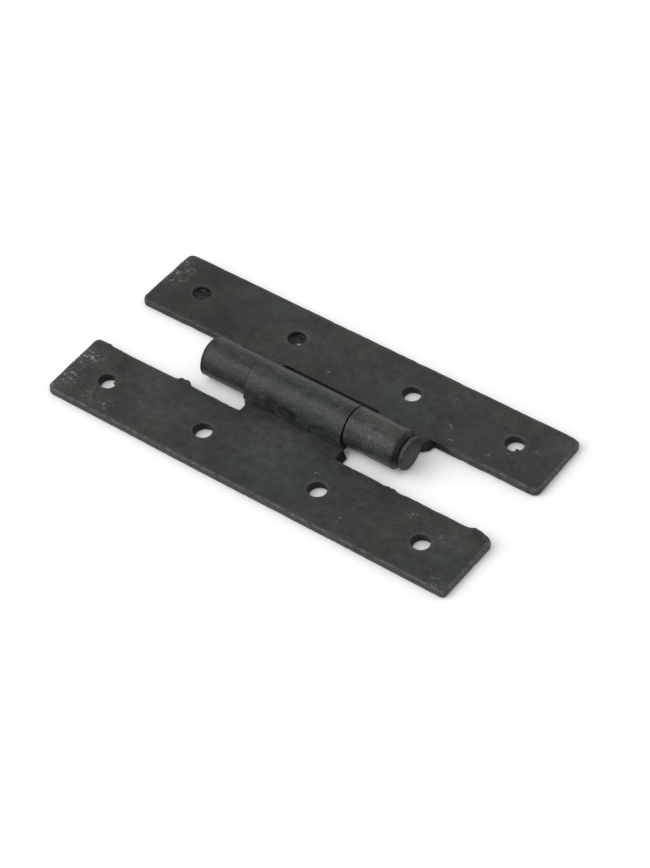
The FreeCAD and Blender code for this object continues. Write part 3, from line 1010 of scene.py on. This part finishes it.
def waxed_steel(name):
    """Blackened steel under dark wax: clouds of colour, worn edges with a painted highlight line and a
    painted sheen on the walls, light streaks on the barrel that are partly painted highlight, scuffs with
    painted glints, darker patches, and painted shade in holes, splits, corners and the slot.
    """
    graph = Graph(name)
    cloud = graph.noise(size=20, detail=4, seed=1)
    patch = graph.noise(size=7, detail=5, seed=2)
    mottle = graph.noise(size=2.2, detail=5, seed=3)
    grain = graph.noise(size=0.45, detail=3, seed=4)
    streak = graph.noise(size=0.9, detail=5, stretch=(0.5, 1, 1), seed=5)
    stain = graph.noise(size=13, detail=4, seed=6)
    color = graph.mix(graph.times(graph.fade(cloud, 0.42, 0.62), CLOUD_SHARE), OLIVE_STEEL, BLUE_STEEL)
    color = graph.mix(graph.times(graph.fade(stain, 0.52, 0.68), CLOUD_SHARE), color, BROWN_STEEL)
    color = graph.mix(graph.mark("blue", patch, 0.25, 0.5), color, BLUE_STEEL)
    tone = graph.plus(graph.times(patch, PATCH_TONE), graph.times(mottle, MOTTLE_TONE))
    tone = graph.plus(tone, graph.times(grain, GRAIN_TONE))
    color = graph.brighten(color, graph.plus(TONE_SHIFT, tone))
    # Pale haze, partly worn metal and partly painted light and highlights.
    color = graph.mix(graph.mark("pale", graph.noise(size=1.8, detail=6, seed=13), 0.3, 0.7), color, WORN_AND_SHEEN)
    color = graph.mix(graph.mark("brown", mottle, 0.35, 0.65), color, RUST)
    # Worn edges, with a painted highlight line on their roundings and a painted sheen on their walls.
    brightening = graph.noise(size=0.6, detail=5, stretch=(0.5, 1, 1), seed=7)
    color = graph.mix(graph.mark("wear_and_sheen", brightening, 0.25, 0.8), color, WORN_AND_SHEEN)
    halo = graph.times(graph.attribute("halo"), graph.times(mottle, HALO_SHARE))
    color = graph.mix(halo, color, WORN_AND_SHEEN)
    # Light streaks and speckles along the barrel, partly rubbed metal and partly a painted highlight.
    shine = graph.times(graph.mark("barrel", streak, 0.5, 0.72), STREAK_SHARE)
    speckle = graph.mark("barrel", graph.noise(size=0.45, detail=4, seed=12), 0.5, 0.72)
    speckle = graph.times(speckle, SPECKLE_SHARE)
    color = graph.mix(graph.plus(shine, speckle), color, WORN_AND_SHEEN)
    gouge = graph.mark("barrel", graph.noise(size=1.3, detail=5, stretch=(0.4, 1, 1), seed=11), 0.52, 0.7)
    color = graph.mix(graph.times(gouge, GOUGE_SHARE), color, NEAR_BLACK)
    # Scuffs, with painted glints on the right knuckle, and flecks.
    scratch = graph.fade(graph.noise(size=0.7, detail=6, stretch=(0.8, 1, 1), seed=8, twist=0.6), 0.5, 0.68)
    scuff_and_glint = graph.times(graph.attribute("scuff_and_glint"), graph.times(scratch, SCRATCH_SHARE))
    speck = graph.fade(graph.noise(size=0.5, detail=2, seed=9), 0.67, 0.77)
    fleck = graph.times(graph.times(speck, graph.fade(patch, 0.4, 0.65)), FLECK_SHARE)
    color = graph.mix(graph.math("MAXIMUM", scuff_and_glint, fleck), color, SCUFF_AND_GLINT)
    # Painted shade in holes, splits, corners, the slot and along the ridge, and darker patches.
    color = graph.mix(graph.attribute("shade_and_dark_patches"), color, NEAR_BLACK)
    roughness = graph.plus(STEEL_ROUGHNESS, graph.times(graph.plus(mottle, patch), ROUGHNESS_SPREAD))
    roughness = graph.plus(roughness, graph.times(graph.attribute("barrel"), BARREL_POLISH))
    normal = graph.bump(graph.noise(size=1.3, detail=4, seed=10), DENT_DEPTH)
    normal = graph.bump(grain, GRAIN_DEPTH, normal)
    return graph.surface(color, roughness, normal)


def old_wax():
    """Dark lumpy wax with pale crumbs."""
    graph = Graph("old_wax")
    crumbs = graph.noise(size=0.8, detail=4, seed=2)
    color = graph.mix(graph.fade(crumbs, 0.55, 0.75), DARK_WAX, PALE_WAX)
    color = graph.mix(graph.mark("crumb", crumbs, 0.35, 0.55), color, WAX_CRUMB)
    roughness = graph.plus(WAX_ROUGHNESS, graph.times(crumbs, WAX_ROUGHNESS_SPREAD))
    return graph.surface(color, roughness, graph.bump(crumbs, WAX_DEPTH))


steel = waxed_steel("waxed_steel")
for piece in (near_leaf, far_leaf):
    piece.data.materials.append(steel)
pin_piece.data.materials.append(waxed_steel("pin_steel"))
wax = old_wax()
for piece in plugs:
    piece.data.materials.append(wax)


# Floor, light and camera, in metres, radians and watts, with the lens in millimetres.
WHITE = (1, 1, 1, 1)
PAPER = (0.8, 0.8, 0.8, 1)
PALE_PAPER = (0.815, 0.815, 0.815, 1)
FLOOR_HALF = 3.0
FLOOR_DROP = 0.00002
WORLD_STRENGTH = 0.75
LAMP_DIRECTION = (-0.53, -0.58, 0.66)
LAMP_DISTANCE = 1.2
LAMP_SIZE = 1.1
LAMP_POWER = 8.8
CAMERA_AZIMUTH = math.radians(35.058)
CAMERA_ELEVATION = math.radians(45.72)
CAMERA_DISTANCE = 0.58248
CAMERA_TARGET = Vector((0.0002, 0, 0))
CAMERA_LENS = 114.95
CAMERA_SHIFT = (0.0152, -0.0162)
CAMERA_CLIP = 0.01


def seen_directly(nodes, links):
    """1 for what the camera sees straight, in a reflection or through glass, and 0 for soft light."""
    path = nodes.new("ShaderNodeLightPath")
    seen = path.outputs["Is Camera Ray"]
    for ray in ("Is Glossy Ray", "Is Transmission Ray"):
        either = nodes.new("ShaderNodeMath")
        either.operation = "MAXIMUM"
        links.new(seen, either.inputs[0])
        links.new(path.outputs[ray], either.inputs[1])
        seen = either.outputs["Value"]
    return seen


def floor_material():
    """Pale paper, which the camera and reflections see as white. It keeps the hinge's shadow."""
    graph = Graph("white_floor")
    shader = graph.nodes.new("ShaderNodeBsdfDiffuse")
    paper = graph.mix(graph.fade(graph.noise(size=40, detail=2), 0.3, 0.7), PAPER, PALE_PAPER)
    seen = seen_directly(graph.nodes, graph.links)
    graph.links.new(graph.mix(seen, paper, WHITE), shader.inputs["Color"])
    output = graph.nodes.new("ShaderNodeOutputMaterial")
    graph.links.new(shader.outputs["BSDF"], output.inputs["Surface"])
    return graph.material


def add_floor():
    """A flat floor just under the hinge, which is not part of it."""
    mesh = bpy.data.meshes.new("floor")
    corners = [(-1, -1), (1, -1), (1, 1), (-1, 1)]
    points = [(x * FLOOR_HALF, y * FLOOR_HALF, -FLOOR_DROP) for x, y in corners]
    mesh.from_pydata(points, [], [(0, 1, 2, 3)])
    mesh.materials.append(floor_material())
    floor = bpy.data.objects.new("floor", mesh)
    bpy.context.scene.collection.objects.link(floor)


def add_world():
    """Even soft light from all round, which is seen as white."""
    world = bpy.data.worlds.new("studio")
    world.use_nodes = True
    nodes, links = world.node_tree.nodes, world.node_tree.links
    nodes.clear()
    light = nodes.new("ShaderNodeBackground")
    light.inputs["Color"].default_value = WHITE
    light.inputs["Strength"].default_value = WORLD_STRENGTH
    white = nodes.new("ShaderNodeBackground")
    white.inputs["Color"].default_value = WHITE
    white.inputs["Strength"].default_value = 1.0
    mix = nodes.new("ShaderNodeMixShader")
    output = nodes.new("ShaderNodeOutputWorld")
    links.new(seen_directly(nodes, links), mix.inputs["Fac"])
    links.new(light.outputs["Background"], mix.inputs[1])
    links.new(white.outputs["Background"], mix.inputs[2])
    links.new(mix.outputs["Shader"], output.inputs["Surface"])
    bpy.context.scene.world = world


def add_lamp():
    """A square soft lamp that shines on the hinge from the left of the camera."""
    lamp = bpy.data.lights.new("key", "AREA")
    lamp.size = LAMP_SIZE
    lamp.energy = LAMP_POWER
    place = Vector(LAMP_DIRECTION).normalized() * LAMP_DISTANCE
    piece = bpy.data.objects.new("key", lamp)
    piece.location = place
    piece.rotation_euler = place.to_track_quat("Z", "Y").to_euler()
    bpy.context.scene.collection.objects.link(piece)


def add_camera():
    """The camera at the photograph's viewing angle."""
    data = bpy.data.cameras.new("camera")
    data.lens = CAMERA_LENS
    data.shift_x, data.shift_y = CAMERA_SHIFT
    data.clip_start = CAMERA_CLIP
    level = math.cos(CAMERA_ELEVATION)
    back = Vector((
        math.sin(CAMERA_AZIMUTH) * level,
        -math.cos(CAMERA_AZIMUTH) * level,
        math.sin(CAMERA_ELEVATION),
    ))
    right = Vector((math.cos(CAMERA_AZIMUTH), math.sin(CAMERA_AZIMUTH), 0))
    up = back.cross(right)
    turn = Matrix((right, up, back)).transposed().to_4x4()
    camera = bpy.data.objects.new("camera", data)
    camera.matrix_world = Matrix.Translation(CAMERA_TARGET + back * CAMERA_DISTANCE) @ turn
    bpy.context.scene.collection.objects.link(camera)
    bpy.context.scene.camera = camera


add_floor()
add_world()
add_lamp()
add_camera()
bpy.context.scene.view_settings.view_transform = "Standard"
